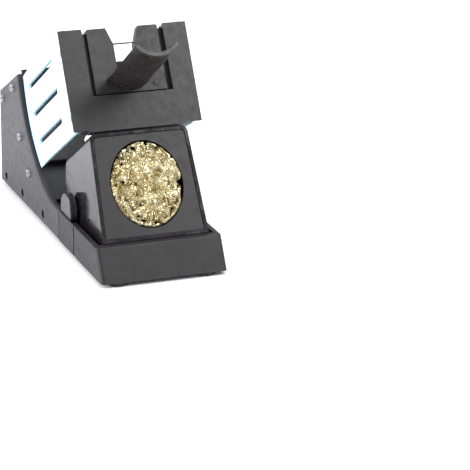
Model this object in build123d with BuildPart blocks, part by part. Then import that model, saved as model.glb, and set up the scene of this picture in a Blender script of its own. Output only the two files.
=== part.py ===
from build123d import *
import os
from math import cos, sin, tan, radians

# Bench stand for a soldering iron: a weighted tray with two cheek plates, a holder that tilts along
# a round cradle between the cheeks, a slide-in iron rest with a gutter, and a dry tip-cleaning box.
# Millimetres. +Z is up, the front is towards -Y, and the origin is on the bench under the middle.

os.makedirs("parts", exist_ok=True)

# ---- Driving dimensions ----
stand_width = 80.0
stand_depth = 219.0
half_width = stand_width / 2
front = -stand_depth / 2
lean = 30.0                 # all front faces lean back by this angle

foot_height = 2.5           # the tray's underside is this far above the bench
foot_radius = 6.5
floor_top = 5.0
rim_z = 22.0
wall = 3.5                  # side walls and cheek plates
inner_x = half_width - wall
seam_y = front + 87.0       # the cheeks start here
groove_y = front + 56.0
mid_wall_y = front + 104.5
cross_wall_top = 20.0       # meets the low edge of the cradle
tray_back_y = front + 214.6
flange = 3.0
flange_top = 12.5

tilt_y = front + 92.0       # the holder tilts about this line
tilt_z = rim_z + 86.0
cheek_arc = 86.0
cradle_arc = 86.3
cradle_thick = 2.5
holder_arc = 84.5
screw_arc = 101.0           # cheek screws into the cradle's flanges lie on this radius
screw_hole = 1.7            # radius of the clearance holes for M3 screws

face_y = front + 49.2       # lower front edge of the holder's front block
face_z = 83.6
block_half = 41.0
block_high = 63.1
block_deep = 8.5
block_lip = 1.6             # the block's thin face plate, which covers the panels' front edges
recess_half = 25.9
recess_floor = 20.9
panel_x = 37.9
panel_thick = 1.9
panel_inner = panel_x - panel_thick

insert_half = 22.8
insert_face = 1.5           # set back behind the block's face
insert_thick = 6.5
insert_bottom = 22.0
throat_half = 6.8
throat_mouth = 10.6
throat_neck = 52.7
throat_bottom = 26.2
rib_half = 27.1
rib_bottom = 19.0
rib_thick = 2.6
rib_play = 0.3

gutter_slope = 33.0
gutter_inner = 14.3
gutter_thick = 3.0
gutter_span = 55.0          # each side of the bottom
gutter_tip_y = front + 12.5
gutter_tip_z = 139.1        # inner bottom of the gutter at its tip

cleaner_face = 2.4          # behind the block's face
cleaner_top = -1.6
cleaner_back_y = front + 102.0
cleaner_floor = 5.3
cleaner_wall = 2.2
cleaner_half_top = 31.2
cleaner_half_bottom = 33.8
cleaner_lip_z = rim_z + 0.3
hole_rx = 23.0
hole_ry = 27.3
hole_v = -35.5

knob_y = front + 76.0
knob_z = 25.8
knob_radius = 10.3
knob_thick = 4.4
knob_x = 38.8               # outer face

c_lean = cos(radians(lean))
s_lean = sin(radians(lean))

# ---- Working planes ----
# face_plane: x across the stand, y up the leaning face, z out of the face.
# holder_side: x back into the holder, y up the leaning face, z across the stand.
face_plane = Plane(origin=(0, face_y, face_z), x_dir=(1, 0, 0), z_dir=(0, -c_lean, s_lean))
holder_side = Plane(origin=(0, face_y, face_z), x_dir=(0, c_lean, -s_lean), z_dir=(1, 0, 0))
out_of_face = Axis(origin=(0, face_y, face_z), direction=(0, -c_lean, s_lean))


def holder_point(depth, up):
    """(y, z) of a point given in the holder's leaning frame."""
    return (face_y + depth * c_lean + up * s_lean, face_z - depth * s_lean + up * c_lean)


def holder_coords(y, z):
    """(depth, up) in the holder's leaning frame of a point in the stand's frame."""
    dy = y - face_y
    dz = z - face_z
    return (dy * c_lean - dz * s_lean, dy * s_lean + dz * c_lean)


def arc_point(radius, angle):
    """(y, z) on a circle about the tilt line."""
    return (tilt_y + radius * cos(radians(angle)), tilt_z + radius * sin(radians(angle)))


def arc_seat(radius, angle, x=0.0):
    """Plane on a circle about the tilt line, facing away from the tilt line."""
    y, z = arc_point(radius, angle)
    return Plane(origin=(x, y, z), x_dir=(1, 0, 0), z_dir=(0, cos(radians(angle)), sin(radians(angle))))


def side_seat(side, x, y, z):
    """Plane on a side face, facing away from the middle of the stand."""
    return Plane(origin=(side * x, y, z), x_dir=(0, 1, 0), z_dir=(side, 0, 0))


def arc_band(inner, outer, start, end, centre=(tilt_y, tilt_z)):
    """Face of an arc-shaped strip about the tilt line, in a (y, z) sketch."""
    with BuildSketch() as band:
        with BuildLine():
            inside = CenterArc(centre, inner, start, end - start)
            outside = CenterArc(centre, outer, start, end - start)
            Line(inside @ 0, outside @ 0)
            Line(inside @ 1, outside @ 1)
        make_face()
    return band.sketch


def screws(seats, head_radius, head_high, shank_radius, shank_long, socket=True):
    """Group of alike screws: each seat faces the way its head stands out."""
    with BuildPart() as group:
        for seat in seats:
            with BuildSketch(seat):
                Circle(head_radius)
            extrude(amount=head_high, taper=18)
            with BuildSketch(seat):
                Circle(shank_radius)
            extrude(amount=-shank_long)
            if socket:
                with BuildSketch(seat.offset(head_high)):
                    RegularPolygon(shank_radius * 0.62, 6)
                extrude(amount=-head_high * 0.6, mode=Mode.SUBTRACT)
    return group


# ---- Base tray ----
lip_inner_y = front + 16.2
lip_low_y = lip_inner_y - (rim_z - floor_top) * tan(radians(lean))
flange_inner_x = inner_x - flange
bottom_screw_y = [front + 121.8, front + 168.5, front + 207.0]
bottom_screw_z = 8.4
rear_screw_x = 24.0
ballast_screw_spots = [(x, y) for x in (-24.0, 24.0) for y in (front + 124.0, front + 198.0)]
knob_travel = 16.0          # the knobs leave the side walls within this much of the box's slide
pocket_floor = 39.2

with BuildPart() as base_tray:
    with BuildSketch(Plane.YZ):
        with BuildLine():
            Polyline(
                (front, foot_height),
                (front + 11.2, rim_z),
                (seam_y - 0.6, rim_z),
                (seam_y - 0.6, foot_height),
                close=True,
            )
        make_face()
    extrude(amount=half_width, both=True)
    front_corners = base_tray.edges().filter_by(lambda e: e.bounding_box().size.X < 0.01).group_by(Axis.Y)[0]
    fillet(front_corners.filter_by(lambda e: e.bounding_box().size.Z > 5), 2.5)
    fillet(base_tray.faces().sort_by(Axis.Z)[-1].edges(), 0.8)
    # rear part, covered by the cheeks
    with BuildSketch(Plane.XY.offset(foot_height)):
        with Locations((0, (seam_y - 5 + tray_back_y) / 2)):
            Rectangle(2 * inner_x, tray_back_y - seam_y + 5)
    extrude(amount=flange_top - foot_height)
    # wells
    with BuildSketch(Plane.YZ):
        with BuildLine():
            Polyline(
                (lip_low_y, floor_top),
                (lip_inner_y + 1.155, rim_z + 2),
                (seam_y - 3, rim_z + 2),
                (seam_y - 3, floor_top),
                close=True,
            )
        make_face()
    extrude(amount=inner_x, both=True, mode=Mode.SUBTRACT)
    with BuildSketch(Plane.XY.offset(floor_top)):
        with Locations((0, (seam_y - 10 + mid_wall_y) / 2)):
            Rectangle(2 * flange_inner_x, mid_wall_y - seam_y + 10)
        with Locations((0, (mid_wall_y + tray_back_y) / 2)):
            Rectangle(2 * flange_inner_x, tray_back_y - mid_wall_y - 2 * flange)
    extrude(amount=30, mode=Mode.SUBTRACT)
    # room for the knobs above the flanges
    with BuildSketch(Plane.XY.offset(flange_top)):
        with Locations((0, seam_y)):
            Rectangle(2 * inner_x, 10)
    extrude(amount=30, mode=Mode.SUBTRACT)
    # cross wall behind the cleaning box
    with BuildSketch(Plane.XY.offset(foot_height)):
        with Locations((0, mid_wall_y + flange / 2)):
            Rectangle(2 * inner_x, flange)
    extrude(amount=cross_wall_top - foot_height)
    # groove down each side wall
    with BuildSketch(Plane.XY.offset(foot_height)):
        with Locations((-half_width, groove_y), (half_width, groove_y)):
            Rectangle(1.6, 1.6)
    extrude(amount=rim_z - foot_height - 0.6, mode=Mode.SUBTRACT)
    # pockets in the side walls, which let the knobs out along the box's slide
    for side in (-1, 1):
        with BuildSketch(Plane.YZ.offset(side * (inner_x - 1))):
            with Locations((knob_y - knob_travel / 2 * c_lean, knob_z + knob_travel / 2 * s_lean)):
                SlotCenterToCenter(knob_travel, 2 * knob_radius + 0.6, rotation=-lean)
        extrude(amount=side * (pocket_floor - inner_x + 1), mode=Mode.SUBTRACT)
    # screw holes
    for side in (-1, 1):
        for y in bottom_screw_y:
            with BuildSketch(side_seat(side, inner_x, y, bottom_screw_z)):
                Circle(screw_hole)
            extrude(amount=-flange, mode=Mode.SUBTRACT)
    with BuildSketch(Plane.XZ.offset(-tray_back_y)):
        with Locations((-rear_screw_x, bottom_screw_z), (rear_screw_x, bottom_screw_z)):
            Circle(screw_hole)
    extrude(amount=flange, mode=Mode.SUBTRACT)
    for x, y in ballast_screw_spots:
        with BuildSketch(Plane.XY.offset(foot_height)):
            with Locations((x, y)):
                Circle(3.4)
        extrude(amount=1.2, mode=Mode.SUBTRACT)
        with BuildSketch(Plane.XY.offset(foot_height)):
            with Locations((x, y)):
                Circle(screw_hole)
        extrude(amount=floor_top - foot_height, mode=Mode.SUBTRACT)
base_tray.part.label = "base_tray"
export_step(base_tray.part, "parts/base_tray.step")

# ---- Ballast, its screws and the feet ----
ballast_thick = 6.0
with BuildPart() as ballast_plate:
    with BuildSketch(Plane.XY.offset(floor_top)):
        with Locations((0, (mid_wall_y + tray_back_y) / 2)):
            RectangleRounded(2 * flange_inner_x - 1, tray_back_y - mid_wall_y - 2 * flange - 1, 3)
    extrude(amount=ballast_thick)
    with BuildSketch(Plane.XY.offset(floor_top)):
        with Locations(*ballast_screw_spots):
            Circle(screw_hole)
    extrude(amount=ballast_thick, mode=Mode.SUBTRACT)
ballast_plate.part.label = "ballast_plate"
export_step(ballast_plate.part, "parts/ballast_plate.step")

ballast_seats = [
    Plane(origin=(x, y, foot_height + 1.2), x_dir=(1, 0, 0), z_dir=(0, 0, -1)) for x, y in ballast_screw_spots
]
ballast_screws = screws(ballast_seats, 2.9, 1.0, 1.5, 6.5)
ballast_screws.part.label = "ballast_screws"
export_step(ballast_screws.part, "parts/ballast_screws.step")

with BuildPart() as rubber_feet:
    with BuildSketch():
        with Locations(
            (-28, front + 7.2), (28, front + 7.2), (-28, front + 207), (28, front + 207)
        ):
            Circle(foot_radius)
    extrude(amount=foot_height)
    fillet(rubber_feet.faces().group_by(Axis.Z)[0].edges(), 0.8)
rubber_feet.part.label = "rubber_feet"
export_step(rubber_feet.part, "parts/rubber_feet.step")

# ---- Cheek plates ----
cheek_top_angle = -14.0
cheek_back_y = front + stand_depth
slope_drop = 0.5136         # the cheeks' top edge falls this much per millimetre backwards
cheek_corner = arc_point(cheek_arc, cheek_top_angle)
cheek_back_z = cheek_corner[1] - (cheek_back_y - cheek_corner[0]) * slope_drop
cheek_screw_angles = [-19.2, -38.0, -53.5]
cheek_screw_spots = [arc_point(screw_arc, angle) for angle in cheek_screw_angles]
cover_screw_spot = (front + 212.2, 61.0)

with BuildSketch() as cheek_outline:
    with BuildLine():
        sweep_arc = CenterArc((tilt_y, tilt_z), cheek_arc, -90, 90 + cheek_top_angle)
        Polyline(
            sweep_arc @ 1,
            (cheek_back_y, cheek_back_z),
            (cheek_back_y, foot_height),
            (seam_y + 0.4, foot_height),
            (seam_y + 0.4, rim_z),
            sweep_arc @ 0,
        )
    make_face()


def cheek(side):
    """Flat plate with a round front edge, on one side of the stand."""
    with BuildPart() as plate:
        with BuildSketch(Plane.YZ.offset(side * inner_x)):
            add(cheek_outline.sketch)
        extrude(amount=side * wall)
        outer_face = plate.faces().sort_by(Axis.X)[-1 if side > 0 else 0]
        fillet(outer_face.edges().filter_by(GeomType.CIRCLE), 2.0)
        outer_face = plate.faces().sort_by(Axis.X)[-1 if side > 0 else 0]
        fillet(outer_face.edges().filter_by(GeomType.LINE), 0.7)
        for y, z in cheek_screw_spots + [cover_screw_spot]:
            with BuildSketch(side_seat(side, half_width, y, z)):
                Circle(screw_hole)
            extrude(amount=-wall, mode=Mode.SUBTRACT)
        for y in bottom_screw_y:
            with BuildSketch(side_seat(side, half_width, y, bottom_screw_z)):
                Circle(2.7)
            extrude(amount=-2.2, mode=Mode.SUBTRACT)
            with BuildSketch(side_seat(side, half_width, y, bottom_screw_z)):
                Circle(screw_hole)
            extrude(amount=-wall, mode=Mode.SUBTRACT)
    return plate


left_cheek = cheek(-1)
left_cheek.part.label = "left_cheek"
export_step(left_cheek.part, "parts/left_cheek.step")

right_cheek = cheek(1)
right_cheek.part.label = "right_cheek"
export_step(right_cheek.part, "parts/right_cheek.step")

cheek_seats = [
    side_seat(side, half_width, y, z) for side in (-1, 1) for y, z in cheek_screw_spots + [cover_screw_spot]
]
cheek_screws = screws(cheek_seats, 3.0, 1.3, 1.5, wall + flange - 0.3)
cheek_screws.part.label = "cheek_screws"
export_step(cheek_screws.part, "parts/cheek_screws.step")

base_seats = [
    side_seat(side, half_width - 2.2, y, bottom_screw_z) for side in (-1, 1) for y in bottom_screw_y
]
base_screws = screws(base_seats, 2.4, 1.2, 1.5, wall - 2.2 + flange - 0.3)
base_screws.part.label = "base_screws"
export_step(base_screws.part, "parts/base_screws.step")

# ---- Cradle between the cheeks ----
cradle_back = cradle_arc + cradle_thick
cradle_low = -80.5
cradle_high = -12.5
slot_half = 3.2
slot_low = -66.0
slot_high = -31.0
with BuildPart() as arc_cradle:
    with BuildSketch(Plane.YZ):
        add(arc_band(cradle_arc, cradle_back, cradle_low, cradle_high))
    extrude(amount=inner_x, both=True)
    with BuildSketch(Plane.YZ):
        add(arc_band(cradle_arc - 1, cradle_back + 1, slot_low, slot_high))
    extrude(amount=slot_half, both=True, mode=Mode.SUBTRACT)
arc_cradle.part.label = "arc_cradle"
export_step(arc_cradle.part, "parts/arc_cradle.step")

# flanges on the back of the cradle, which take the cheek screws
flange_low = -59.0
flange_rim = 4.0
flange_inset = 3.7          # below the cheeks' top edge, under the rear cover
with BuildPart() as cradle_flanges:
    for side in (-1, 1):
        with BuildSketch(Plane.YZ.offset(side * flange_inner_x)):
            add(arc_band(cradle_back, screw_arc + flange_rim, flange_low, cradle_high))
            with BuildLine():
                Polyline(
                    (cheek_corner[0] - 80, cheek_corner[1] + 80 * slope_drop - flange_inset),
                    (cheek_back_y, cheek_back_z - flange_inset),
                    (cheek_back_y, 0),
                    (cheek_corner[0] - 80, 0),
                    close=True,
                )
            make_face(mode=Mode.INTERSECT)
        extrude(amount=side * flange)
        for y, z in cheek_screw_spots:
            with BuildSketch(side_seat(side, inner_x, y, z)):
                Circle(screw_hole)
            extrude(amount=-flange, mode=Mode.SUBTRACT)
cradle_flanges.part.label = "cradle_flanges"
export_step(cradle_flanges.part, "parts/cradle_flanges.step")

# ---- Rear cover between the cheeks ----
cover_thick = 2.0
cover_y = tray_back_y + cover_thick
cover_top_z = cheek_back_z + (cheek_back_y - cover_y) * slope_drop - 1.2
cover_front_y = front + 179.0
cover_front_z = cover_top_z + (cover_y - cover_front_y) * slope_drop
slope_thick = cover_thick * (1 + slope_drop**2) ** 0.5
cover_inner_z = cover_top_z + cover_thick * slope_drop - slope_thick
with BuildPart() as rear_cover:
    with BuildSketch(Plane.YZ):
        with BuildLine():
            Polyline(
                (cover_y, foot_height + 0.5),
                (cover_y, cover_top_z),
                (cover_front_y, cover_front_z),
                (cover_front_y, cover_front_z - slope_thick),
                (cover_y - cover_thick, cover_inner_z),
                (cover_y - cover_thick, foot_height + 0.5),
                close=True,
            )
        make_face()
    extrude(amount=inner_x, both=True)
    for side in (-1, 1):
        with BuildSketch(side_seat(side, inner_x, *cover_screw_spot)):
            Circle(4.0)
        extrude(amount=-flange)
        with BuildSketch(side_seat(side, inner_x, *cover_screw_spot)):
            Circle(screw_hole)
        extrude(amount=-flange, mode=Mode.SUBTRACT)
    with BuildSketch(Plane.XZ.offset(-cover_y)):
        with Locations((-rear_screw_x, bottom_screw_z), (rear_screw_x, bottom_screw_z)):
            Circle(screw_hole)
    extrude(amount=cover_thick, mode=Mode.SUBTRACT)
rear_cover.part.label = "rear_cover"
export_step(rear_cover.part, "parts/rear_cover.step")

rear_seats = [
    Plane(origin=(x, cover_y, bottom_screw_z), x_dir=(1, 0, 0), z_dir=(0, 1, 0))
    for x in (-rear_screw_x, rear_screw_x)
]
rear_screws = screws(rear_seats, 3.0, 1.3, 1.5, cover_thick + flange - 0.3)
rear_screws.part.label = "rear_screws"
export_step(rear_screws.part, "parts/rear_screws.step")

# ---- Holder: front block ----
panel_screw_depth = 6.4
panel_screw_grip = 3.0
panel_screw_ups = [10.2, 50.5]
core_half = panel_inner - 0.1
with BuildPart() as front_block:
    with BuildSketch(face_plane):
        Rectangle(2 * block_half, block_high, align=(Align.CENTER, Align.MIN))
    extrude(amount=-block_lip)
    upright = front_block.edges().filter_by(lambda e: e.bounding_box().size.X < 0.01)
    fillet(upright.filter_by(lambda e: e.length > block_high - 1), 0.5)
    with BuildSketch(face_plane):
        Rectangle(2 * core_half, block_high, align=(Align.CENTER, Align.MIN))
        with Locations((0, 0.5)):
            Rectangle(2 * 30.5, 3.0)
    extrude(amount=-block_deep)
    # recess for the slide-in rest, flared where it opens at the top
    with BuildSketch(face_plane):
        with BuildLine():
            Polyline(
                (-recess_half, recess_floor),
                (recess_half, recess_floor),
                (recess_half, block_high - 2),
                (recess_half + 0.5, block_high + 1),
                (-recess_half - 0.5, block_high + 1),
                (-recess_half, block_high - 2),
                close=True,
            )
        make_face()
    extrude(amount=-block_deep, mode=Mode.SUBTRACT)
    # groove that the rest's rib runs in
    with BuildSketch(face_plane.offset(-insert_face - 2.7 + rib_play)):
        with Locations((0, rib_bottom - rib_play)):
            Rectangle(2 * (rib_half + rib_play), block_high, align=(Align.CENTER, Align.MIN))
    extrude(amount=-rib_thick - 2 * rib_play, mode=Mode.SUBTRACT)
    # holes for the panel screws
    for side in (-1, 1):
        for up in panel_screw_ups:
            with BuildSketch(holder_side.offset(side * core_half)):
                with Locations((panel_screw_depth, up)):
                    Circle(screw_hole)
            extrude(amount=-side * panel_screw_grip, mode=Mode.SUBTRACT)
front_block.part.label = "front_block"
export_step(front_block.part, "parts/front_block.step")

# ---- Holder: side panels ----
panel_front = block_lip + 0.1
panel_low = 1.0
panel_high = 64.0
arc_centre = holder_coords(tilt_y, tilt_z)
panel_low_depth = arc_centre[0] + (holder_arc**2 - (arc_centre[1] - panel_low) ** 2) ** 0.5
panel_high_depth = arc_centre[0] + (holder_arc**2 - (arc_centre[1] - panel_high) ** 2) ** 0.5
vent_slots = [(31.5, 89.0, 15.5), (30.5, 93.8, 34.2), (32.0, 94.0, 52.8)]
vent_width = 4.0
bevel_arc = 64.5            # the bevel runs from this radius out to the rear edge
bevel_x = 36.6              # outer face at the rear edge
bevel_slope = (panel_x - bevel_x) / (holder_arc - bevel_arc)
tilt_plane = Plane(origin=(0, tilt_y, tilt_z), x_dir=(1, 0, 0), z_dir=(0, 0, 1))
tilt_axis = Axis(origin=(0, tilt_y, tilt_z), direction=(1, 0, 0))


def side_panel(side):
    """Shell beside the holder, with three vents and a wide bevel along its round rear edge."""
    with BuildPart() as panel:
        with BuildSketch(holder_side.offset(side * panel_inner)):
            with BuildLine():
                Line((panel_high_depth, panel_high), (panel_front, panel_high))
                Line((panel_front, panel_high), (panel_front, panel_low))
                Line((panel_front, panel_low), (panel_low_depth, panel_low))
                ThreePointArc(
                    (panel_low_depth, panel_low),
                    (arc_centre[0] + holder_arc, arc_centre[1]),
                    (panel_high_depth, panel_high),
                )
            make_face()
        extrude(amount=side * panel_thick)
        with BuildSketch(tilt_plane):
            with BuildLine():
                Polyline(
                    (side * panel_x, bevel_arc),
                    (side * (bevel_x - bevel_slope), holder_arc + 1),
                    (side * (panel_x + 1), holder_arc + 1),
                    (side * (panel_x + 1), bevel_arc - 1 / bevel_slope),
                    close=True,
                )
            make_face()
        revolve(axis=tilt_axis, mode=Mode.SUBTRACT)
        for start, end, up in vent_slots:
            with BuildSketch(holder_side.offset(side * panel_inner)):
                with Locations(((start + end) / 2, up)):
                    SlotOverall(end - start, vent_width)
            extrude(amount=side * panel_thick, mode=Mode.SUBTRACT)
        for up in panel_screw_ups:
            with BuildSketch(holder_side.offset(side * panel_inner)):
                with Locations((panel_screw_depth, up)):
                    Circle(screw_hole)
            extrude(amount=side * panel_thick, mode=Mode.SUBTRACT)
    return panel


left_side_panel = side_panel(-1)
left_side_panel.part.label = "left_side_panel"
export_step(left_side_panel.part, "parts/left_side_panel.step")

right_side_panel = side_panel(1)
right_side_panel.part.label = "right_side_panel"
export_step(right_side_panel.part, "parts/right_side_panel.step")

panel_seats = [
    side_seat(side, panel_x, *holder_point(panel_screw_depth, up))
    for side in (-1, 1)
    for up in panel_screw_ups
]
panel_screws = screws(panel_seats, 3.0, 1.4, 1.5, panel_thick + panel_screw_grip - 0.3)
panel_screws.part.label = "panel_screws"
export_step(panel_screws.part, "parts/panel_screws.step")

# ---- Holder: rear wall and the sliding guide ----
rear_wall_outer = holder_arc - 0.4
rear_wall_inner = rear_wall_outer - 2.5
bolt_angles = [-50.0, -35.0]
bolt_radius = 3.0
with BuildPart() as holder_rear_wall:
    with BuildSketch(Plane.YZ):
        add(arc_band(rear_wall_inner, rear_wall_outer, -57.5, -19.5))
    extrude(amount=panel_inner, both=True)
    for angle in bolt_angles:
        with BuildSketch(arc_seat(rear_wall_inner - 1, angle)):
            Circle(bolt_radius + 0.1)
        extrude(amount=5, mode=Mode.SUBTRACT)
holder_rear_wall.part.label = "holder_rear_wall"
export_step(holder_rear_wall.part, "parts/holder_rear_wall.step")

washer_low = cradle_arc + cradle_thick + 0.15
washer_thick = 0.8
nut_low = washer_low + washer_thick
nut_thick = 3.0
with BuildPart() as guide_bolts:
    for angle in bolt_angles:
        with BuildSketch(arc_seat(rear_wall_inner - 0.15, angle)):
            Circle(5.0)
        extrude(amount=-2.5)
        with BuildSketch(arc_seat(rear_wall_inner - 0.15, angle)):
            Circle(bolt_radius)
        extrude(amount=nut_low + nut_thick + 0.5 - rear_wall_inner)
        with BuildSketch(arc_seat(rear_wall_inner - 2.65, angle)):
            RegularPolygon(2.2, 6)
        extrude(amount=1.5, mode=Mode.SUBTRACT)
guide_bolts.part.label = "guide_bolts"
export_step(guide_bolts.part, "parts/guide_bolts.step")

with BuildPart() as friction_washers:
    for angle in bolt_angles:
        with BuildSketch(arc_seat(washer_low, angle)):
            Circle(6.5)
            Circle(bolt_radius + 0.1, mode=Mode.SUBTRACT)
        extrude(amount=washer_thick)
friction_washers.part.label = "friction_washers"
export_step(friction_washers.part, "parts/friction_washers.step")

with BuildPart() as guide_nuts:
    for angle in bolt_angles:
        with BuildSketch(arc_seat(nut_low, angle)):
            RegularPolygon(5.6, 6)
            Circle(bolt_radius + 0.05, mode=Mode.SUBTRACT)
        extrude(amount=nut_thick)
guide_nuts.part.label = "guide_nuts"
export_step(guide_nuts.part, "parts/guide_nuts.step")

# ---- Slide-in rest: gutter ----
c_gut = cos(radians(gutter_slope))
s_gut = sin(radians(gutter_slope))
gutter_outer = gutter_inner + gutter_thick
tip_centre = (0, gutter_tip_y + gutter_inner * s_gut, gutter_tip_z + gutter_inner * c_gut)
tip_plane = Plane(origin=tip_centre, x_dir=(1, 0, 0), z_dir=(0, -c_gut, s_gut))
insert_back = insert_face + insert_thick
gutter_flange = 2.0
gutter_root = Plane(
    origin=(0, *holder_point(insert_back + gutter_flange, 0)), x_dir=(1, 0, 0), z_dir=(0, -c_lean, s_lean)
)
rest_screw_x = 16.3
rest_screw_up = 26.4

with BuildPart() as iron_gutter:
    with BuildSketch(tip_plane):
        add(arc_band(gutter_inner, gutter_outer, -90 - gutter_span, -90 + gutter_span, centre=(0, 0)))
    extrude(amount=-80)
    split(bisect_by=gutter_root, keep=Keep.TOP)
    fillet(iron_gutter.faces().sort_by(Axis.Y)[0].edges(), 0.5)
    # flange behind the rest plate
    with BuildSketch(face_plane.offset(-insert_back)):
        with Locations((0, rest_screw_up)):
            RectangleRounded(2 * rest_screw_x + 7, 8, 2)
    extrude(amount=-gutter_flange)
    with BuildSketch(tip_plane):
        Circle(gutter_inner)
    extrude(amount=-85, mode=Mode.SUBTRACT)
    for x in (-rest_screw_x, rest_screw_x):
        with BuildSketch(face_plane.offset(-insert_back)):
            with Locations((x, rest_screw_up)):
                Circle(1.1)
        extrude(amount=-gutter_flange, mode=Mode.SUBTRACT)
iron_gutter.part.label = "iron_gutter"
export_step(iron_gutter.part, "parts/iron_gutter.step")

# ---- Slide-in rest: plate, pin and screws ----
pin_radius = 0.8
pin_depth = 4.75
pin_up = 53.9
pin_half = throat_half + 4.0
with BuildPart() as rest_plate:
    with BuildSketch(face_plane.offset(-insert_face)):
        with BuildLine():
            Polyline(
                (-insert_half, insert_bottom),
                (insert_half, insert_bottom),
                (insert_half, block_high - 0.8),
                (insert_half - 0.8, block_high),
                (0.8 - insert_half, block_high),
                (-insert_half, block_high - 0.8),
                close=True,
            )
        make_face()
    extrude(amount=-insert_thick)
    with BuildSketch(face_plane.offset(-insert_face - 2.7)):
        with Locations((0, rib_bottom)):
            Rectangle(2 * rib_half, block_high - rib_bottom - 2, align=(Align.CENTER, Align.MIN))
    extrude(amount=-rib_thick)
    # throat for the iron's barrel, open down to the gutter's slot
    with BuildSketch(face_plane):
        with BuildLine():
            Polyline(
                (-throat_half, throat_bottom),
                (-throat_half, throat_neck),
                (-throat_mouth, block_high + 0.5),
                (throat_mouth, block_high + 0.5),
                (throat_half, throat_neck),
                (throat_half, throat_bottom),
                close=True,
            )
        make_face()
    extrude(amount=-insert_back - 1, mode=Mode.SUBTRACT)
    # slot that the gutter passes through
    with BuildSketch(tip_plane):
        add(arc_band(
            gutter_inner - 0.1, gutter_outer + 0.1, -91 - gutter_span, -89 + gutter_span, centre=(0, 0)
        ))
    extrude(amount=-85, mode=Mode.SUBTRACT)
    # pin and screw holes
    with BuildSketch(holder_side):
        with Locations((pin_depth, pin_up)):
            Circle(pin_radius + 0.1)
    extrude(amount=pin_half + 0.3, both=True, mode=Mode.SUBTRACT)
    for x in (-rest_screw_x, rest_screw_x):
        with BuildSketch(face_plane):
            with Locations((x, rest_screw_up)):
                Circle(1.1)
        extrude(amount=-insert_back, mode=Mode.SUBTRACT)
rest_plate.part.label = "rest_plate"
export_step(rest_plate.part, "parts/rest_plate.step")

with BuildPart() as cross_pin:
    with BuildSketch(holder_side):
        with Locations((pin_depth, pin_up)):
            Circle(pin_radius)
    extrude(amount=pin_half, both=True)
cross_pin.part.label = "cross_pin"
export_step(cross_pin.part, "parts/cross_pin.step")

rest_seats = [
    Plane(
        origin=(x, *holder_point(insert_face, rest_screw_up)), x_dir=(1, 0, 0), z_dir=(0, -c_lean, s_lean)
    )
    for x in (-rest_screw_x, rest_screw_x)
]
rest_screws = screws(rest_seats, 1.7, 0.5, 1.0, insert_thick + 1.6, socket=False)
rest_screws.part.label = "rest_screws"
export_step(rest_screws.part, "parts/rest_screws.step")

# ---- Cleaning box ----
cleaner_low = (cleaner_lip_z - face_z + cleaner_face * s_lean) / c_lean
cleaner_top_back = holder_point((cleaner_back_y - face_y - cleaner_top * s_lean) / c_lean, cleaner_top)
ramp_depth = (face_z - cleaner_floor + cleaner_low * c_lean) / s_lean
ramp_end = holder_point(ramp_depth, cleaner_low)
side_draft = (cleaner_half_bottom - cleaner_half_top) / (cleaner_top - cleaner_low)


def face_half(up, inset=0.0):
    """Half width of the box's front face at a height in the leaning frame."""
    return cleaner_half_top + (cleaner_top - up) * side_draft - inset


def face_trapezoid(inset):
    """Front outline of the box, shrunk by inset on every side."""
    top = cleaner_top - inset
    low = cleaner_low + inset
    with BuildSketch() as outline:
        with BuildLine():
            Polyline(
                (-face_half(low, inset), low),
                (face_half(low, inset), low),
                (face_half(top, inset), top),
                (-face_half(top, inset), top),
                close=True,
            )
        make_face()
    return outline.sketch


with BuildPart() as cleaner_box:
    with BuildSketch(Plane.YZ):
        with BuildLine():
            Polyline(
                holder_point(cleaner_face, cleaner_low),
                holder_point(cleaner_face, cleaner_top),
                cleaner_top_back,
                (cleaner_back_y, cleaner_floor),
                ramp_end,
                close=True,
            )
        make_face()
    extrude(amount=half_width, both=True)
    with BuildSketch(face_plane):
        add(face_trapezoid(0))
    extrude(amount=-120, mode=Mode.INTERSECT)
    top_back_edge = cleaner_box.edges().filter_by(Axis.X).sort_by(Axis.Y)[-2:].sort_by(Axis.Z)[-1]
    fillet(top_back_edge, 8.0)
    upright = cleaner_box.faces().sort_by(Axis.Y)[-1].edges()
    fillet(upright.filter_by(lambda e: e.bounding_box().size.Z > 10), 4.0)
    offset(amount=-cleaner_wall, openings=cleaner_box.faces().sort_by(out_of_face)[-1])
    # ledge that the front plate stops on
    with BuildSketch(face_plane.offset(-cleaner_face - 3.1)):
        add(face_trapezoid(cleaner_wall - 0.5))
        add(face_trapezoid(cleaner_wall + 1.6), mode=Mode.SUBTRACT)
    extrude(amount=-1.5)
    # bosses for the knob studs
    for side in (-1, 1):
        with BuildSketch(side_seat(side, 30.8, knob_y, knob_z)):
            Circle(4.5)
        extrude(amount=-4.0)
        with BuildSketch(side_seat(side, 36, knob_y, knob_z)):
            Circle(2.05)
        extrude(amount=-12, mode=Mode.SUBTRACT)
cleaner_box.part.label = "cleaner_box"
export_step(cleaner_box.part, "parts/cleaner_box.step")

with BuildPart() as cleaner_front:
    with BuildSketch(face_plane.offset(-cleaner_face - 0.4)) as plate_face:
        add(face_trapezoid(cleaner_wall + 0.3))
        fillet(plate_face.vertices().group_by(Axis.Y)[-1], 2.2)
        with Locations((0, hole_v)):
            Ellipse(hole_rx, hole_ry, mode=Mode.SUBTRACT)
    extrude(amount=-2.4)
cleaner_front.part.label = "cleaner_front"
export_step(cleaner_front.part, "parts/cleaner_front.step")

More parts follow.
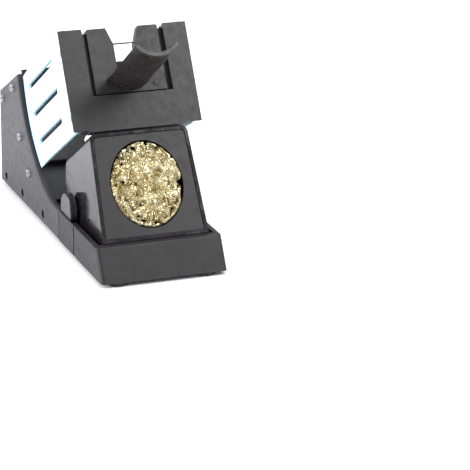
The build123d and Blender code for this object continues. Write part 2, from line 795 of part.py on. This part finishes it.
with BuildPart() as brass_wool:
    with BuildSketch(face_plane.offset(-cleaner_face + 3.5)):
        with Locations((0, hole_v)):
            Ellipse(hole_rx - 0.8, hole_ry - 0.8)
    extrude(amount=-9.5)
    fillet(brass_wool.faces().sort_by(out_of_face)[-1].edges(), 4)
    with BuildSketch(face_plane.offset(-cleaner_face - 5.2)):
        with Locations((0, hole_v)):
            Ellipse(26.5, 29.5)
    extrude(amount=-26)
brass_wool.part.label = "brass_wool"
export_step(brass_wool.part, "parts/brass_wool.step")

# ---- Box knobs and their studs ----
stud_radius = 2.0
stud_end = 26.5
hub_x = 32.9
hub_radius = 4.0
groove_from = 3.0
groove_wide = 0.5
with BuildPart() as knob_studs:
    for side in (-1, 1):
        with BuildSketch(side_seat(side, knob_x - 1.4, knob_y, knob_z)):
            Circle(stud_radius)
        extrude(amount=stud_end + 1.4 - knob_x)
        with BuildSketch(side_seat(side, 26.6, knob_y, knob_z)):
            Circle(3.5)
        extrude(amount=-1.5)
knob_studs.part.label = "knob_studs"
export_step(knob_studs.part, "parts/knob_studs.step")


def knob(side):
    """Thumb disc with a fine groove round its rim and a hub towards the box."""
    with BuildPart() as disc:
        with BuildSketch(side_seat(side, knob_x, knob_y, knob_z)):
            Circle(knob_radius)
        extrude(amount=-knob_thick)
        outer_face = disc.faces().sort_by(Axis.X)[-1 if side > 0 else 0]
        chamfer(outer_face.edges(), 0.4)
        with BuildSketch(side_seat(side, knob_x - groove_from, knob_y, knob_z)):
            Circle(knob_radius + 1)
            Circle(knob_radius - 0.6, mode=Mode.SUBTRACT)
        extrude(amount=-groove_wide, mode=Mode.SUBTRACT)
        with BuildSketch(side_seat(side, hub_x, knob_y, knob_z)):
            Circle(hub_radius)
        extrude(amount=knob_x - knob_thick - hub_x)
        with BuildSketch(side_seat(side, hub_x, knob_y, knob_z)):
            Circle(stud_radius + 0.05)
        extrude(amount=knob_x - 1.3 - hub_x, mode=Mode.SUBTRACT)
    return disc


left_knob = knob(-1)
left_knob.part.label = "left_knob"
export_step(left_knob.part, "parts/left_knob.step")

right_knob = knob(1)
right_knob.part.label = "right_knob"
export_step(right_knob.part, "parts/right_knob.step")
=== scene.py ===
from math import cos, pi, radians, sin, sqrt

import bpy
import numpy as np
from mathutils import Matrix, Vector


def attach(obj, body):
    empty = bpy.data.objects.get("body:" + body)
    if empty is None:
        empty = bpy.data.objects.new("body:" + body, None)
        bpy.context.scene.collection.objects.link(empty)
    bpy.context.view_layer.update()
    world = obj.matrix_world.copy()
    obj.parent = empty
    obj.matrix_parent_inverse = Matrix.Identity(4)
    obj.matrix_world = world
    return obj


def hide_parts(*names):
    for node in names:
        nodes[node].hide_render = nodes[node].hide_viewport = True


# Looks of the soldering iron stand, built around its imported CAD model. Metres, Z up, front towards -Y.

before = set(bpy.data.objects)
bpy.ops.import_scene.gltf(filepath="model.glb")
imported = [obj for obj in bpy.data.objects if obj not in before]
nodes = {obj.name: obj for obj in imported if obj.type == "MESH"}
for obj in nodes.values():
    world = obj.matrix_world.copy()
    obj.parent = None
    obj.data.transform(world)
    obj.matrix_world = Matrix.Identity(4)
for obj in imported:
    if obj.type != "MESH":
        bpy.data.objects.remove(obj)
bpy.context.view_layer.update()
scene = bpy.context.scene

MM = 0.001
LEAN = radians(30)
ACROSS = Vector((1, 0, 0))
UP_FACE = Vector((0, sin(LEAN), cos(LEAN)))
OUT_OF_FACE = Vector((0, -cos(LEAN), sin(LEAN)))


# ---- Shader building ----
class Shader:
    """One material whose node tree is built step by step."""

    def __init__(self, name):
        self.material = bpy.data.materials.new(name)
        self.material.use_nodes = True
        self.tree = self.material.node_tree
        self.surface = self.tree.nodes["Principled BSDF"]
        self.place = self.node("ShaderNodeTexCoord").outputs["Object"]

    def node(self, kind, **settings):
        made = self.tree.nodes.new(kind)
        for key, value in settings.items():
            setattr(made, key, value)
        return made

    def feed(self, socket, value):
        if isinstance(value, bpy.types.NodeSocket):
            self.tree.links.new(value, socket)
        elif isinstance(value, tuple) and len(value) == 3 and socket.type == "RGBA":
            socket.default_value = (*value, 1)
        else:
            socket.default_value = value

    def stretched(self, stretch):
        """Object coordinates scaled by a different factor on each axis."""
        mapping = self.node("ShaderNodeMapping")
        self.feed(mapping.inputs["Vector"], self.place)
        mapping.inputs["Scale"].default_value = stretch
        return mapping.outputs["Vector"]

    def noise(self, size, detail=2.0, rough=0.5, distort=0.0, place=None):
        """Noise whose blobs are about size metres across."""
        made = self.node("ShaderNodeTexNoise")
        self.feed(made.inputs["Vector"], place or self.place)
        made.inputs["Scale"].default_value = 1 / size
        made.inputs["Detail"].default_value = detail
        made.inputs["Roughness"].default_value = rough
        made.inputs["Distortion"].default_value = distort
        return made.outputs["Fac"]

    def ramp(self, value, low, high, to_low=0.0, to_high=1.0):
        """Smooth step of value between low and high, from to_low to to_high."""
        made = self.node("ShaderNodeMapRange", interpolation_type="SMOOTHSTEP")
        self.feed(made.inputs["Value"], value)
        made.inputs["From Min"].default_value = low
        made.inputs["From Max"].default_value = high
        made.inputs["To Min"].default_value = to_low
        made.inputs["To Max"].default_value = to_high
        return made.outputs["Result"]

    def maths(self, operation, first, second=0.0):
        made = self.node("ShaderNodeMath", operation=operation)
        self.feed(made.inputs[0], first)
        self.feed(made.inputs[1], second)
        return made.outputs[0]

    def mix(self, share, first, second):
        """Colour between first and second."""
        made = self.node("ShaderNodeMix", data_type="RGBA")
        self.feed(made.inputs["Factor"], share)
        self.feed(made.inputs[6], first)
        self.feed(made.inputs[7], second)
        return made.outputs[2]

    def bump(self, height, depth, normal=None):
        """Normal pushed about by height, which is worth depth metres."""
        made = self.node("ShaderNodeBump")
        made.inputs["Distance"].default_value = depth
        self.feed(made.inputs["Height"], height)
        if normal is not None:
            self.feed(made.inputs["Normal"], normal)
        return made.outputs["Normal"]

    def rounded(self, radius):
        """Normal that rounds sharp edges off by radius metres."""
        made = self.node("ShaderNodeBevel")
        made.samples = 4
        made.inputs["Radius"].default_value = radius
        return made.outputs["Normal"]

    def edges(self, radius, low=0.02, high=0.25):
        """1 along sharp edges, 0 on open faces."""
        made = self.node("ShaderNodeVectorMath", operation="DOT_PRODUCT")
        self.feed(made.inputs[0], self.rounded(radius))
        self.feed(made.inputs[1], self.node("ShaderNodeNewGeometry").outputs["Normal"])
        return self.ramp(self.maths("SUBTRACT", 1.0, made.outputs["Value"]), low, high)

    def finish(self, **sockets):
        for key, value in sockets.items():
            self.feed(self.surface.inputs[key.replace("_", " ")], value)
        return self.material


WORN_EDGE = 0.6 * MM        # width of the worn band along an edge
PLASTIC_IOR = 1.42


def moulding(name, dark, light, rough, grain, grain_depth, edge=0.35 * MM, worn=None, speckle=0.0):
    """Fine-grained moulded plastic: mottled colour, grain bump, rounded edges that are slightly worn."""
    s = Shader(name)
    mottle = s.noise(9 * MM, detail=4.0, rough=0.6)
    fine = s.noise(grain, detail=2.0, rough=0.7)
    colour = s.mix(s.ramp(mottle, 0.3, 0.7), dark, light)
    if speckle:
        pale = tuple(min(1.0, c * 2.6) for c in light)
        colour = s.mix(s.ramp(fine, 0.58, 0.72, 0.0, speckle), colour, pale)
    if worn:
        patchy = s.maths("MULTIPLY", s.edges(WORN_EDGE), s.ramp(s.noise(3 * MM, detail=5.0), 0.42, 0.62))
        colour = s.mix(patchy, colour, worn)
    roughness = s.ramp(s.noise(4 * MM, detail=5.0, rough=0.65), 0.3, 0.75, rough - 0.06, rough + 0.08)
    normal = s.bump(fine, grain_depth, s.rounded(edge))
    return s.finish(Base_Color=colour, Roughness=roughness, Normal=normal, IOR=PLASTIC_IOR)


def satin(name, dark, light, rough, scratch=0.0, smudge=None):
    """Smoother dark plastic with handling marks, and brownish flux smudges where asked."""
    s = Shader(name)
    colour = s.mix(s.ramp(s.noise(12 * MM, detail=5.0), 0.3, 0.7), dark, light)
    if smudge:
        stain = s.ramp(s.noise(6 * MM, detail=6.0, rough=0.7, distort=0.8), 0.52, 0.72, 0.0, 0.7)
        colour = s.mix(stain, colour, smudge)
    wiped = s.ramp(s.noise(7 * MM, detail=6.0, rough=0.7, distort=0.6), 0.35, 0.7, rough - 0.08, rough + 0.12)
    fine = s.noise(0.5 * MM, detail=2.0)
    hairs = s.noise(1.2 * MM, detail=3.0, place=s.stretched((6.0, 1.0, 0.4)))
    height = s.maths("ADD", fine, s.maths("MULTIPLY", hairs, scratch))
    normal = s.bump(height, 0.004 * MM, s.rounded(0.3 * MM))
    return s.finish(Base_Color=colour, Roughness=wiped, Normal=normal, IOR=PLASTIC_IOR)


def plated(name, dark, light, rough, size=0.8 * MM):
    """Metal with a faint crystalline bloom."""
    s = Shader(name)
    bloom = s.noise(size, detail=4.0, rough=0.65)
    colour = s.mix(s.ramp(bloom, 0.3, 0.7), dark, light)
    roughness = s.ramp(s.noise(2 * MM, detail=4.0), 0.3, 0.7, rough - 0.06, rough + 0.1)
    normal = s.bump(bloom, 0.01 * MM, s.rounded(0.15 * MM))
    return s.finish(Base_Color=colour, Roughness=roughness, Normal=normal, Metallic=1.0)


def rubber(name):
    s = Shader(name)
    dust = s.ramp(s.noise(2.5 * MM, detail=6.0, rough=0.7), 0.5, 0.75)
    colour = s.mix(dust, (0.012, 0.012, 0.013), (0.032, 0.031, 0.03))
    normal = s.bump(s.noise(0.35 * MM, detail=3.0), 0.03 * MM, s.rounded(0.3 * MM))
    return s.finish(Base_Color=colour, Roughness=0.72, Normal=normal)


def brass(name, dark, light, rough):
    """Bright swarf: clean gold where fresh, browner and duller where used."""
    s = Shader(name)
    used = s.ramp(s.noise(7 * MM, detail=4.0, rough=0.6), 0.35, 0.68)
    fine = s.noise(0.6 * MM, detail=3.0)
    colour = s.mix(used, light, dark)
    roughness = s.ramp(fine, 0.3, 0.7, rough - 0.05, rough + 0.15)
    return s.finish(Base_Color=colour, Roughness=roughness, Normal=s.bump(fine, 0.01 * MM), Metallic=1.0)


MATERIALS = {
    "moulding": moulding(
        "moulding", (0.0105, 0.0095, 0.010), (0.014, 0.013, 0.0135), 0.48, 0.32 * MM, 0.03 * MM,
        worn=(0.06, 0.056, 0.06), speckle=0.2,
    ),
    "inner_moulding": moulding(
        "inner_moulding", (0.010, 0.010, 0.011), (0.015, 0.014, 0.016), 0.55, 0.4 * MM, 0.03 * MM,
    ),
    "cheek_plate": moulding(
        "cheek_plate", (0.016, 0.0155, 0.019), (0.021, 0.020, 0.024), 0.42, 0.30 * MM, 0.035 * MM,
        worn=(0.07, 0.066, 0.073), speckle=0.4,
    ),
    "block": moulding(
        "block", (0.0145, 0.0135, 0.014), (0.019, 0.0175, 0.018), 0.42, 0.30 * MM, 0.018 * MM,
        edge=0.4 * MM, worn=(0.06, 0.056, 0.058), speckle=0.1,
    ),
    "rest": satin("rest", (0.013, 0.0115, 0.0115), (0.018, 0.016, 0.0155), 0.42, 0.2, (0.027, 0.021, 0.017)),
    "gutter": satin("gutter", (0.016, 0.015, 0.015), (0.021, 0.019, 0.019), 0.30, 0.2),
    "blue_panel": moulding(
        "blue_panel", (0.50, 0.76, 0.88), (0.56, 0.81, 0.92), 0.30, 0.5 * MM, 0.006 * MM,
    ),
    "gloss_box": satin("gloss_box", (0.009, 0.0075, 0.0085), (0.012, 0.010, 0.0115), 0.14),
    "cleaner_plate": satin("cleaner_plate", (0.012, 0.0105, 0.011), (0.016, 0.014, 0.0145), 0.38, 0.1),
    "knob": moulding(
        "knob", (0.026, 0.025, 0.027), (0.034, 0.032, 0.035), 0.28, 0.4 * MM, 0.008 * MM, edge=0.25 * MM,
        worn=(0.07, 0.067, 0.07),
    ),
    "brass_wool": brass("brass_wool", (0.62, 0.50, 0.24), (0.92, 0.84, 0.56), 0.13),
    # near-black brass for the core behind the curls: painted shade of the tangle's inside, not the brass's
    # own colour
    "wool_core_painted_shade": brass("wool_core_painted_shade", (0.012, 0.008, 0.004), (0.05, 0.035, 0.015), 0.6),
    "rubber": rubber("rubber"),
    "steel_plate": plated("steel_plate", (0.36, 0.36, 0.37), (0.5, 0.5, 0.5), 0.38, 3 * MM),
    "zinc_steel": plated("zinc_steel", (0.5, 0.5, 0.49), (0.66, 0.66, 0.64), 0.3),
    "bright_screws": plated("bright_screws", (0.24, 0.24, 0.26), (0.34, 0.34, 0.36), 0.28),
    "dark_screws": satin("dark_screws", (0.010, 0.010, 0.011), (0.02, 0.02, 0.022), 0.35),
    "pin_steel": plated("pin_steel", (0.3, 0.3, 0.3), (0.42, 0.42, 0.42), 0.25),
}

NODE_MATERIALS = {
    "base_tray": "moulding",
    "rear_cover": "moulding",
    "left_cheek": "cheek_plate",
    "right_cheek": "cheek_plate",
    "arc_cradle": "inner_moulding",
    "cradle_flanges": "inner_moulding",
    "ballast_plate": "steel_plate",
    "ballast_screws": "zinc_steel",
    "rubber_feet": "rubber",
    "cheek_screws": "bright_screws",
    "base_screws": "dark_screws",
    "rear_screws": "bright_screws",
    "front_block": "block",
    "left_side_panel": "blue_panel",
    "right_side_panel": "blue_panel",
    "panel_screws": "bright_screws",
    "holder_rear_wall": "inner_moulding",
    "guide_bolts": "zinc_steel",
    "friction_washers": "inner_moulding",
    "guide_nuts": "zinc_steel",
    "rest_plate": "rest",
    "iron_gutter": "gutter",
    "rest_screws": "dark_screws",
    "cross_pin": "pin_steel",
    "cleaner_box": "gloss_box",
    "knob_studs": "zinc_steel",
    "cleaner_front": "cleaner_plate",
    "left_knob": "knob",
    "right_knob": "knob",
}

for name, node in nodes.items():
    if name in NODE_MATERIALS:
        node.data.materials.clear()
        node.data.materials.append(MATERIALS[NODE_MATERIALS[name]])


# ---- Brass wool ----
# Curled ribbons of brass swarf, packed behind the round opening and bulging out of it.
# Points are held as (across, up the face, out of the face), measured from the middle of the opening.
rng = np.random.default_rng(11)
AXES = np.array([ACROSS, UP_FACE, OUT_OF_FACE])


def leaning(node):
    """Vertices of a CAD node in the leaning frame."""
    flat = np.empty(3 * len(node.data.vertices))
    node.data.vertices.foreach_get("co", flat)
    return flat.reshape(-1, 3) @ AXES.T


plate_front = leaning(nodes["cleaner_front"])[:, 2].max()
wool_space = leaning(nodes["brass_wool"])
neck = wool_space[wool_space[:, 2] > plate_front]
opening_middle = np.array([0.0, (neck[:, 1].max() + neck[:, 1].min()) / 2, plate_front])
opening_half = (neck[:, :2].max(axis=0) - neck[:, :2].min(axis=0)) / 2
wool_proud = wool_space[:, 2].max() - plate_front

STEPS_PER_TURN = 8
RIBBON_SIDES = 3
TURNS_WANTED = 3500
RIBBON_THICK = 0.07 * MM
CURL_TURNS = (7, 24)
CURL_PITCH = (0.75 * MM, 1.35 * MM)
CURL_RADIUS = (0.9 * MM, 1.5 * MM)
RIBBON_HALF_WIDTH = (0.15 * MM, 0.22 * MM)
SINK = 1.1 * MM             # of the coils' axes below the front of the CAD solid
# middle of each place that the wool leaves open, as shares of the opening, and its reach squared
THIN_PLACES = ((-0.45, 0.85, 0.10), (-0.66, -0.60, 0.02))
EDGE_DROP = 3.6 * MM        # the wool's surface falls this far from the middle to the rim of the opening
LAYERS = (0.0, 0.0, 1.0 * MM, 2.2 * MM)


def bulge(spots):
    """How far out of the plate the wool's surface is at (across, up) spots."""
    reach_out = np.clip((spots / opening_half) ** 2, 0, 1).sum(axis=-1)
    return wool_proud - SINK - EDGE_DROP * np.clip(reach_out, 0, 1.2) ** 1.5


def thin_place(spot):
    """Whether the wool leaves the opening open here, so that the near-black core behind, painted shade for
    the tangle's inside, shows.
    """
    a, b = spot / opening_half
    return any((a - x) ** 2 + (b - y) ** 2 < reach for x, y, reach in THIN_PLACES)


def curl(layer):
    """Centre line, axis direction and outward direction of one ribbon wound into a wandering coil."""
    turns = int(rng.integers(*CURL_TURNS))
    steps = turns * STEPS_PER_TURN
    pitch = rng.uniform(*CURL_PITCH)
    radius = rng.uniform(*CURL_RADIUS)
    heading = rng.uniform(0, 2 * pi) + np.cumsum(rng.normal(0, 0.09, steps))
    start_angle = rng.uniform(0, 2 * pi)
    start = sqrt(rng.uniform(0, 0.85)) * opening_half * (cos(start_angle), sin(start_angle))
    if thin_place(start) and layer < 2 * MM:
        return None
    along = np.stack((np.cos(heading), np.sin(heading)), axis=1)
    path = start + np.cumsum(along, axis=0) * pitch / STEPS_PER_TURN
    # turned back towards the middle where the coil would leave the opening
    limit = 1 - (radius - 0.4 * MM) / opening_half.min()
    outward = np.linalg.norm(path / opening_half, axis=1)
    path /= np.maximum(1, outward / limit)[:, None]
    phase = rng.uniform(0, 2 * pi) + np.cumsum(rng.normal(2 * pi / STEPS_PER_TURN, 0.10, steps))
    swell = radius * (1 + 0.22 * np.sin(np.cumsum(rng.normal(0, 0.25, steps))))
    tilt = rng.uniform(-0.5, 0.5)
    axis = np.stack((along[:, 0] * cos(tilt), along[:, 1] * cos(tilt), np.full(steps, sin(tilt))), axis=1)
    side = np.stack((-along[:, 1], along[:, 0], np.zeros(steps)), axis=1)
    out = np.cross(axis, side)
    radial = np.cos(phase)[:, None] * side + np.sin(phase)[:, None] * out
    height = bulge(path) - layer - rng.uniform(0, 0.8) * MM
    line = np.concatenate((path, height[:, None]), axis=1) + radial * swell[:, None]
    return line, axis, radial


wool_points = []
wool_faces = []
turns_made = 0
point_count = 0
while turns_made < TURNS_WANTED:
    made = curl(LAYERS[int(rng.integers(len(LAYERS)))])
    if made is None:
        continue
    line, axis, radial = made
    half = rng.uniform(*RIBBON_HALF_WIDTH)
    ring = np.stack((line - axis * half, line + axis * half, line + radial * RIBBON_THICK), axis=1)
    steps = len(line)
    wool_points.append(ring.reshape(-1, 3))
    for step in range(steps - 1):
        here = point_count + RIBBON_SIDES * step
        ahead = here + RIBBON_SIDES
        for k in range(RIBBON_SIDES):
            m = (k + 1) % RIBBON_SIDES
            wool_faces.append((here + k, here + m, ahead + m, ahead + k))
    last = point_count + RIBBON_SIDES * (steps - 1)
    wool_faces.append((point_count + 2, point_count + 1, point_count))
    wool_faces.append((last, last + 1, last + 2))
    point_count += RIBBON_SIDES * steps
    turns_made += steps // STEPS_PER_TURN


def wool_piece(name, points, faces, material):
    """Mesh object of points given in the leaning frame, riding on the cleaning box."""
    mesh = bpy.data.meshes.new(name)
    mesh.from_pydata(((points + opening_middle) @ AXES).tolist(), [], faces)
    mesh.materials.append(MATERIALS[material])
    piece = bpy.data.objects.new(name, mesh)
    scene.collection.objects.link(piece)
    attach(piece, "cleaner")
    return piece


# kept inside the opening, and no further out than stray ends may stand
RIM_OVERLAP = 0.3 * MM
STRAY_END = 0.6 * MM
strands = np.concatenate(wool_points)
inside = np.linalg.norm(strands[:, :2] / (opening_half + RIM_OVERLAP), axis=1)
strands[:, :2] /= np.maximum(1, inside)[:, None]
strands[:, 2] = np.minimum(strands[:, 2], wool_proud + STRAY_END)
wool = wool_piece("brass_curls", strands, wool_faces, "brass_wool")
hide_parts("brass_wool")

# matted mass behind the curls, near-black: painted shade standing in for the inside of the tangle
CORE_RINGS = 26
CORE_SPOKES = 72
CORE_SINK = 4.4 * MM        # below the surface of the curls
CORE_BACK = -18 * MM
CORE_ROUGH = 1.1 * MM
CORE_GAP = 0.6 * MM         # between the core and the rim of the opening
core_points = [(0.0, 0.0, 0.0)]
for ring in range(1, CORE_RINGS + 1):
    for spoke in range(CORE_SPOKES):
        turn = 2 * pi * spoke / CORE_SPOKES
        out = ring / CORE_RINGS
        core_points.append((cos(turn) * out, sin(turn) * out, 0.0))
core = np.array(core_points)
core[:, :2] *= opening_half - CORE_GAP
core[:, 2] = bulge(core[:, :2]) - CORE_SINK - rng.uniform(0, CORE_ROUGH, len(core))
rim = core[-CORE_SPOKES:].copy()
rim[:, 2] = CORE_BACK
core = np.concatenate((core, rim, [[0.0, 0.0, CORE_BACK]]))
core_faces = []
back_ring = 1 + CORE_RINGS * CORE_SPOKES
for spoke in range(CORE_SPOKES):
    after = (spoke + 1) % CORE_SPOKES
    core_faces.append((0, 1 + spoke, 1 + after))
    for ring in range(CORE_RINGS):
        low = 1 + ring * CORE_SPOKES
        high = low + CORE_SPOKES
        core_faces.append((low + spoke, high + spoke, high + after, low + after))
    core_faces.append((len(core) - 1, back_ring + after, back_ring + spoke))
wool_piece("wool_core_painted_shade", core, core_faces, "wool_core_painted_shade")


# ---- Studio ----
def aimed(position, target):
    """Rotation that points a light's -Z from position to target."""
    return (Vector(target) - Vector(position)).to_track_quat("-Z", "Y")


def softbox(name, position, target, width, height, watts):
    data = bpy.data.lights.new(name, "AREA")
    data.shape = "RECTANGLE"
    data.size = width
    data.size_y = height
    data.energy = watts
    light = bpy.data.objects.new(name, data)
    light.location = position
    light.rotation_mode = "QUATERNION"
    light.rotation_quaternion = aimed(position, target)
    scene.collection.objects.link(light)


CENTRE = (0, 0, 0.07)
softbox("key_right", (0.9, -1.0, 1.4), CENTRE, 0.7, 0.7, 20)
softbox("top", (0.2, 0.0, 1.7), CENTRE, 1.5, 1.3, 16)
softbox("back_left", (-1.5, 0.4, 0.7), CENTRE, 1.3, 1.0, 44)
bpy.data.lights["back_left"].color = (0.96, 0.95, 1.0)

world = bpy.data.worlds.new("studio")
world.use_nodes = True
world.node_tree.nodes["Background"].inputs["Color"].default_value = (0.95, 0.96, 1.0, 1)
world.node_tree.nodes["Background"].inputs["Strength"].default_value = 0.72
scene.world = world
scene.view_settings.view_transform = "Standard"

floor_mesh = bpy.data.meshes.new("studio_floor")
reach = 8.0
corners = [(-reach, -reach, 0), (reach, -reach, 0), (reach, reach, 0), (-reach, reach, 0)]
floor_mesh.from_pydata(corners, [], [(0, 1, 2, 3)])
floor = bpy.data.objects.new("studio_floor", floor_mesh)
scene.collection.objects.link(floor)
pale = Shader("pale_floor")
floor_mesh.materials.append(
    pale.finish(
        Base_Color=pale.mix(pale.ramp(pale.noise(0.4), 0.3, 0.7), (0.86, 0.86, 0.86), (0.9, 0.9, 0.9)),
        Roughness=0.8,
    )
)

# ---- Camera ----
AZIMUTH = radians(-21.24)
ELEVATION = radians(19.18)
ROLL = radians(0.67)
AIM = Vector((0.04188, -0.11567, 0.02709))
DISTANCE = 1.4013
back = Vector((sin(AZIMUTH) * cos(ELEVATION), -cos(AZIMUTH) * cos(ELEVATION), sin(ELEVATION)))
level = Vector((cos(AZIMUTH), sin(AZIMUTH), 0))
upright = back.cross(level)
right = level * cos(ROLL) + upright * sin(ROLL)
up = upright * cos(ROLL) - level * sin(ROLL)
camera_data = bpy.data.cameras.new("camera")
camera_data.sensor_width = 36
camera_data.lens = 179.15
camera_data.clip_end = 50
camera = bpy.data.objects.new("camera", camera_data)
turned = Matrix((right, up, back)).transposed().to_4x4()
camera.matrix_world = Matrix.Translation(AIM + back * DISTANCE) @ turned
scene.collection.objects.link(camera)
scene.camera = camera
